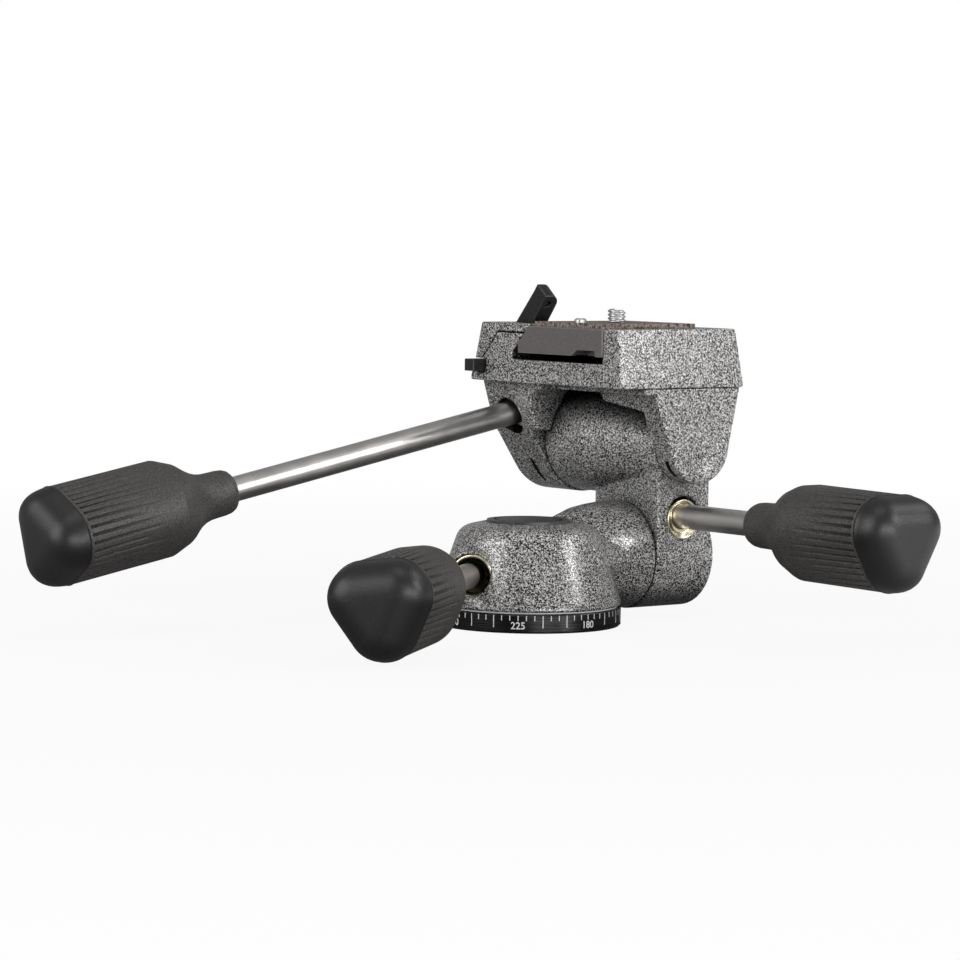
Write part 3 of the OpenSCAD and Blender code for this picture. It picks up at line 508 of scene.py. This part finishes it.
def grip_part(rings, with_grooves, far, near, place):
    """A closed part of the grip, gathered to a point at each end and set in its place."""
    bm, edges = loft(rings, with_grooves)
    gather(bm, edges, far)
    gather(bm, [e for e in bm.edges if e.is_boundary], near)
    bmesh.ops.recalc_face_normals(bm, faces=bm.faces)
    for face in bm.faces:
        face.smooth = True
    bm.transform(place)
    return bm


neck = [(60, 0, 4.27), (0.5, 0, 4.27), (0, 0, 4.8), (0, 0, 5.6), (0.25, 0, 6.4), (0.9, 0, 7.05),
        (2, 0, 7.5), (4, 0, 7.75), (7, 0, 7.8), (10, 0, 7.95), (12.5, 0, 8.5), (15, 0.1, 9.4),
        (17, 0.2, 10.5), (19, 0.3, 11.8), (20.5, 0.5, 12.7), (21.2, 0.6, 13.0), (26.3, 1.5, 13.6),
        (27, 1.6, 13.65)]
trunk = [(27 + (seam_at - 0.2 - 27) * i / 24, 1.6 + 1.3 * i / 24, 13.65 - 2.15 * i / 24)
         for i in range(1, 25)]
trunk += [(seam_at - 1.75, 2.9, 11.5), (seam_at - 1.6, 2.9, 11.5), (seam_at - 1.4, 2.9, 11.5)]
bead = 0.22
end_cap = [(seam_at - 0.1, 2.9, 10.9), (seam_at - 0.1, 2.9, 11.5 + bead * 0.5),
           (seam_at + 0.25, 2.9, 11.5 + bead), (seam_at + 0.65, 2.9, 11.5 + bead * 0.4),
           (seam_at + 1, 2.9, 11.45), (67, 3, 11.2), (68.5, 3.1, 10.8), (70, 3.25, 10.2),
           (71.4, 3.4, 9.4), (72.7, 3.55, 8.4), (73.8, 3.7, 7.2), (74.7, 3.8, 5.9),
           (75.4, 3.85, 4.5), (75.9, 3.8, 3.1), (76.2, 3.5, 2.0), (76.3, 2.6, 1.4), (76.3, 1.4, 0.8)]


def grip(name, base, out, level, turn):
    """One grip and its end cap, standing on the rod from base along out, turned about it."""
    place = upright(base, level, Vector(out).normalized())
    place = place @ Matrix.Rotation(math.radians(turn), 4, "Z") @ Matrix.Diagonal((mm, mm, mm, 1))
    body = name + "_handle"
    bm = grip_part(neck + sorted(trunk), True, seam_at - 0.2, 60, place)
    add_piece(name + "_grip_rubber", bm, rubber, body, "rubber", name + "_grip")
    bm = grip_part(end_cap, False, 76.28, seam_at - 0.1, place)
    add_piece(name + "_grip_end", bm, soft_black, body, "cap_plastic", name + "_grip_cap")


down = (0, 0, -1)
grip("pan", pan_foot + pan_out * 64.86 * mm, pan_out, down, 67)
grip("side", Vector((57.2, 53.2, 36)) * mm, (1, 0, 0), down, 180)
drop = math.radians(11.3)
tilt_out = Vector((0, -math.cos(drop), -math.sin(drop)))
tilt_foot = Vector((-43, 51.8, 74.8)) * mm
grip("tilt", tilt_foot + tilt_out * 148.22 * mm, tilt_out, (1, 0, 0), 60)

# Side-tilt block: another aluminium casting in the same enamel, with the front-tilt barrel on top.
# It turns on the side shaft and is clamped by the side handle.
casting("tilt_block", "block")

# Yoke: cast, with two cheeks that turn on the tilt shaft. Inside the bore of the long handle and the
# two saw cuts the enamel is painted near black, as painted shade.
# Painted shade: near black inside the bore of the long handle and the two saw cuts.
bore_shade_enamel, tree, shader = enamel("bore_shade_enamel")
painted_hole_shade = (0.012, 0.01, 0.009)
bore_turn = (math.radians(101.3), 0, 0)
bore_at = tilt_foot + Vector((0, -math.sin(drop), -math.cos(drop))) * 1.2 * mm
saw_turn = (math.radians(35), 0, 0)
left_saw, right_saw = Vector((-42.3, 51.8, 60.8)) * mm, Vector((24.7, 51.8, 60.8)) * mm
for place, turn, limits in (
        (bore_at, bore_turn, (("r", 0, 6.7), ("z", 30, 24))),
        (left_saw, saw_turn, (("x", 0, 0.95), ("y", -22, 7), ("z", -1.5, 5.4))),
        (right_saw, saw_turn, (("x", 0, 0.95), ("y", -16, 6.5), ("z", -1, 3.6)))):
    paint_over(tree, shader, inside(tree, place, turn, *limits), painted_hole_shade)
casting("yoke", "platform", finish=bore_shade_enamel)

# Platform and clamp jaw: cast and enamelled like the rest, the slot for the plate and the jaw's
# seat machined after. Set screws hold the platform on the yoke, and the jaw slides in its seat.
casting("platform", "platform")
casting("clamp_jaw", "clamp_jaw", voxel=0.3 * mm)

# Lock lever: a die-cast lever, painted satin black, with a rounded tip, soft edges and a small
# dimple. It turns on a pin in the platform and draws the jaw.
def cut(bm, point, away):
    """Takes off what lies beyond a plane."""
    bmesh.ops.bisect_plane(bm, geom=bm.verts[:] + bm.edges[:] + bm.faces[:], dist=1e-7,
                           plane_co=point, plane_no=away, clear_outer=True)


lever_lean = Matrix.Rotation(math.radians(40), 4, "Y")
lever_frame = Matrix.Translation(Vector((-41.6, 28.3, 96)) * mm) @ lever_lean
tip = bmesh.new()
block = bmesh.ops.create_cube(tip, size=1)["verts"]
bmesh.ops.scale(tip, vec=Vector((6.7, 8, 2.2)) * mm, verts=block)
bmesh.ops.translate(tip, vec=Vector((0, 0, 21.3)) * mm, verts=block)
tip.transform(lever_frame)
tip_r, tip_y, tip_z, lever_side = 4.2, -0.2, 18.2, -2.7
lever_cuts = []
for a in (0, 0.25, 0.5, 0.75, 1, 1.25, 1.45):
    point = Vector((0, tip_y + tip_r * math.sin(a), tip_z + tip_r * math.cos(a))) * mm
    away = Vector((0, math.sin(a), math.cos(a)))
    lever_cuts.append((lever_frame @ point, lever_frame.to_3x3() @ away))
lever_cuts.append((lever_frame @ Vector((0, lever_side * mm, 0)), (0, -1, 0)))
lever = solid("lock_lever", tip)
for point, away in lever_cuts:
    cut(lever, point, away)
    bmesh.ops.holes_fill(lever, edges=[e for e in lever.edges if e.is_boundary])
soften(add_piece("lever", lever, satin_black, "lock_lever", "black_metal", "lock_lever"),
       0.22 * mm, 4)

# Safety catch: a small slide moulded in black plastic, let into the side of the platform
# over its spring.
soften(add_piece("catch", solid("safety_catch"), satin_black, "safety_catch", "black_plastic",
                 "safety_catch"), 0.18 * mm, 3)

# Release plate: extruded aluminium, dark anodised, with painted highlights along its edges and
# painted shade in its inner corners. It sits in the
# platform's slot, held by the jaw.
plate_finish, tree, shader = new_finish("dark_anodised", grey(0.1), 0.42, 0.3)
tone = ramp(tree, grain(tree, 3200, 3, 0, (0.35, 1, 1)),
            (0.3, (0.2, 0.185, 0.18)), (0.7, (0.32, 0.297, 0.29)))
# Painted highlight on the edges, painted shade in hollow corners.
edges = edge_tone(tree, (0.44, grey(0.3)), (0.49, grey(0.6)), (0.51, grey(0.6)), (0.56, grey(1)))
tree.links.new(times(tree, tone, edges), shader.inputs["Base Color"])
vary(tree, shader, "Roughness", grain(tree, 800, 3), grey(0.36), grey(0.5))
soften(add_piece("plate", solid("release_plate"), plate_finish, "qr_plate", "plate_metal",
                 "release_plate"), 0.35 * mm, 2)

# Cork pad: a sheet of pressed cork, light and dark bits together, cut to size
# and glued to the plate.
cork_finish, tree, shader = new_finish("pressed_cork", (0.4, 0.24, 0.12), 0.85)
bits = grain(tree, 1100, 4)
tree.links.new(ramp(tree, bits, (0.36, (0.025, 0.018, 0.015)), (0.46, (0.15, 0.118, 0.104)),
                    (0.62, (0.36, 0.295, 0.265))), shader.inputs["Base Color"])
relief(tree, shader, bits, 0.2 * mm, 0.8)
dress("cork_pad", cork_finish)

# Camera screw and anti-twist pin: nickel-plated steel, the screw with a rolled quarter-inch
# thread. Both stand in the plate; the screw turns from below and the pin gives way on a spring.
nickel, tree, shader = new_finish("nickel_plate", grey(0.75), 0.35, 1.0)
vary(tree, shader, "Roughness", grain(tree, 1500, 3), grey(0.32), grey(0.4))
vary(tree, shader, "Base Color", grain(tree, 500, 2), grey(0.66), grey(0.8))
dress("twist_pin", nickel)
screw_at = Vector((0, 37.4, 0)) * mm
plate_top = 101 * mm
pitch, turns, steps = 1.27 * mm, 3.85, 40
screw = solid("camera_screw")
cut(screw, (0, 0, plate_top - 0.3 * mm), (0, 0, 1))
core = ((0.001, 106.9), (2.1, 106.9), (2.5, 106.5), (2.5, 100.7))
turned(screw, [screw_at + Vector((r, 0, z)) * mm for r, z in core], screw_at, (0, 0, 1), 32)
tooth = [screw.verts.new(screw_at + Vector((r, 0, z)) * mm)
         for r, z in ((2.45, 101.25), (2.75, 101.5), (3.05, 101.7), (3.175, 101.9),
                      (3.05, 102.1), (2.75, 102.3), (2.45, 102.55))]
outline = [screw.edges.new(pair) for pair in zip(tooth, tooth[1:])]
bmesh.ops.spin(screw, geom=tooth + outline, cent=screw_at, axis=(0, 0, 1),
               dvec=(0, 0, pitch / steps), angle=2 * math.pi * turns, steps=int(steps * turns))
bmesh.ops.recalc_face_normals(screw, faces=screw.faces)
for face in screw.faces:
    face.smooth = face.calc_center_median().z > plate_top
add_piece("threaded_screw", screw, nickel, "camera_screw", "nickel", "camera_screw")

# Studio: a white floor and surround with large soft lamps, and the camera where the photo was
# taken. The floor is white to the camera but keeps the shadow, and metal sees a greyer room.
floor_bm = bmesh.new()
bmesh.ops.create_grid(floor_bm, x_segments=1, y_segments=1, size=6)
floor_mesh = bpy.data.meshes.new("floor")
floor_bm.to_mesh(floor_mesh)
floor_bm.free()
floor = bpy.data.objects.new("floor", floor_mesh)
bpy.context.scene.collection.objects.link(floor)
white = bpy.data.materials.new("floor_white")
white.use_nodes = True
floor_mesh.materials.append(white)
tree = white.node_tree
tree.nodes.clear()


def plain(tree, kind, lightness):
    """A shader node of one grey."""
    node = tree.nodes.new(kind)
    node.inputs["Color"].default_value = (*grey(lightness), 1)
    return node


def either(tree, factor, one, other):
    """One shader where the factor is zero, the other where it is one."""
    node = tree.nodes.new("ShaderNodeMixShader")
    tree.links.new(factor, node.inputs["Fac"])
    tree.links.new(one, node.inputs[1])
    tree.links.new(other, node.inputs[2])
    return node.outputs["Shader"]


def fade(tree, value, start, end, low, high):
    """Runs a value over to another range."""
    node = tree.nodes.new("ShaderNodeMapRange")
    for name, number in (("From Min", start), ("From Max", end), ("To Min", low), ("To Max", high)):
        node.inputs[name].default_value = number
    tree.links.new(value, node.inputs["Value"])
    return node.outputs["Result"]


path = tree.nodes.new("ShaderNodeLightPath")
coords = tree.nodes.new("ShaderNodeTexCoord")
reach = tree.nodes.new("ShaderNodeVectorMath")
reach.operation = "LENGTH"
tree.links.new(coords.outputs["Object"], reach.inputs[0])
mapping = tree.nodes.new("ShaderNodeMapping")
mapping.inputs["Rotation"].default_value = (0, 0, math.radians(-37.8))
tree.links.new(coords.outputs["Object"], mapping.inputs["Vector"])
split = tree.nodes.new("ShaderNodeSeparateXYZ")
tree.links.new(mapping.outputs["Vector"], split.inputs["Vector"])
matt = plain(tree, "ShaderNodeBsdfDiffuse", 0.6)
glow = plain(tree, "ShaderNodeEmission", 1)
# Painted reflection: to glossy rays the floor glows, dim near the head, brighter further out and
# brighter still to one side.
sheen = plain(tree, "ShaderNodeEmission", 1)
far_off = fade(tree, reach.outputs["Value"], 0.08, 0.35, 0.06, 0.4)
to_one_side = fade(tree, split.outputs["X"], 0.08, 0.3, 0, 0.9)
tree.links.new(reckon(tree, "ADD", far_off, to_one_side), sheen.inputs["Strength"])
seen = reckon(tree, "MULTIPLY", path.outputs["Is Camera Ray"],
              fade(tree, reach.outputs["Value"], 0.15, 0.7, 0.92, 1))
unseen = either(tree, path.outputs["Is Glossy Ray"], matt.outputs["BSDF"],
                sheen.outputs["Emission"])
out = tree.nodes.new("ShaderNodeOutputMaterial")
tree.links.new(either(tree, seen, unseen, glow.outputs["Emission"]), out.inputs["Surface"])

world = bpy.data.worlds.new("studio")
bpy.context.scene.world = world
world.use_nodes = True
tree = world.node_tree
tree.nodes.clear()
path = tree.nodes.new("ShaderNodeLightPath")
wall, shine, fill = (plain(tree, "ShaderNodeBackground", v).outputs["Background"]
                     for v in (1, 0.28, 0.2))
unseen = either(tree, path.outputs["Is Glossy Ray"], fill, shine)
out = tree.nodes.new("ShaderNodeOutputWorld")
tree.links.new(either(tree, path.outputs["Is Camera Ray"], unseen, wall), out.inputs["Surface"])
middle = Vector((0, 0.02, 0.06))


def lamp(name, place, size, power):
    """A soft oblong lamp that points at the middle of the head."""
    light = bpy.data.lights.new(name, "AREA")
    light.shape = "RECTANGLE"
    light.size, light.size_y = size
    light.energy = power
    stand = bpy.data.objects.new(name, light)
    stand.location = place
    stand.rotation_euler = (middle - Vector(place)).to_track_quat("-Z", "Y").to_euler()
    bpy.context.scene.collection.objects.link(stand)


lamp("overhead", (0.2, -0.2, 1.1), (0.6, 0.6), 1.4)
lamp("front_box", (0.35, 0.75, 0.85), (0.55, 0.4), 1.7)
lamp("right_strip", (0.78, 0.52, 0.44), (0.1, 0.4), 2.4)
lamp("right_low", (1.1, 0.2, 0.04), (0.14, 0.18), 2.5)
lamp("rear_right", (1.0, -0.3, 0.1), (0.5, 0.25), 3)
lamp("left_strip", (-0.1, -1.1, 0.5), (0.9, 0.9), 6.8)

turn, dip, roll = math.radians(52.181), math.radians(4.103), math.radians(0.759)
aim = turn + math.radians(0.807)
away, eye = 1185.279 * mm, 133.891 * mm
across = Vector((math.cos(aim), math.sin(aim), 0))
back = Vector((math.sin(aim) * math.cos(dip), -math.cos(aim) * math.cos(dip), math.sin(dip)))
up = back.cross(across)
across, up = (across * math.cos(roll) + up * math.sin(roll),
              up * math.cos(roll) - across * math.sin(roll))
sensor, focal_px, frame_px = 36, 3485.492, 960
lens = bpy.data.cameras.new("camera")
lens.sensor_width = sensor
lens.lens = sensor * focal_px / frame_px
lens.clip_start = 0.01
camera = bpy.data.objects.new("camera", lens)
camera.matrix_world = Matrix((across, up, back)).transposed().to_4x4()
camera.location = (away * math.sin(turn), -away * math.cos(turn), eye)
bpy.context.scene.collection.objects.link(camera)
bpy.context.scene.camera = camera
bpy.context.scene.view_settings.view_transform = "Standard"
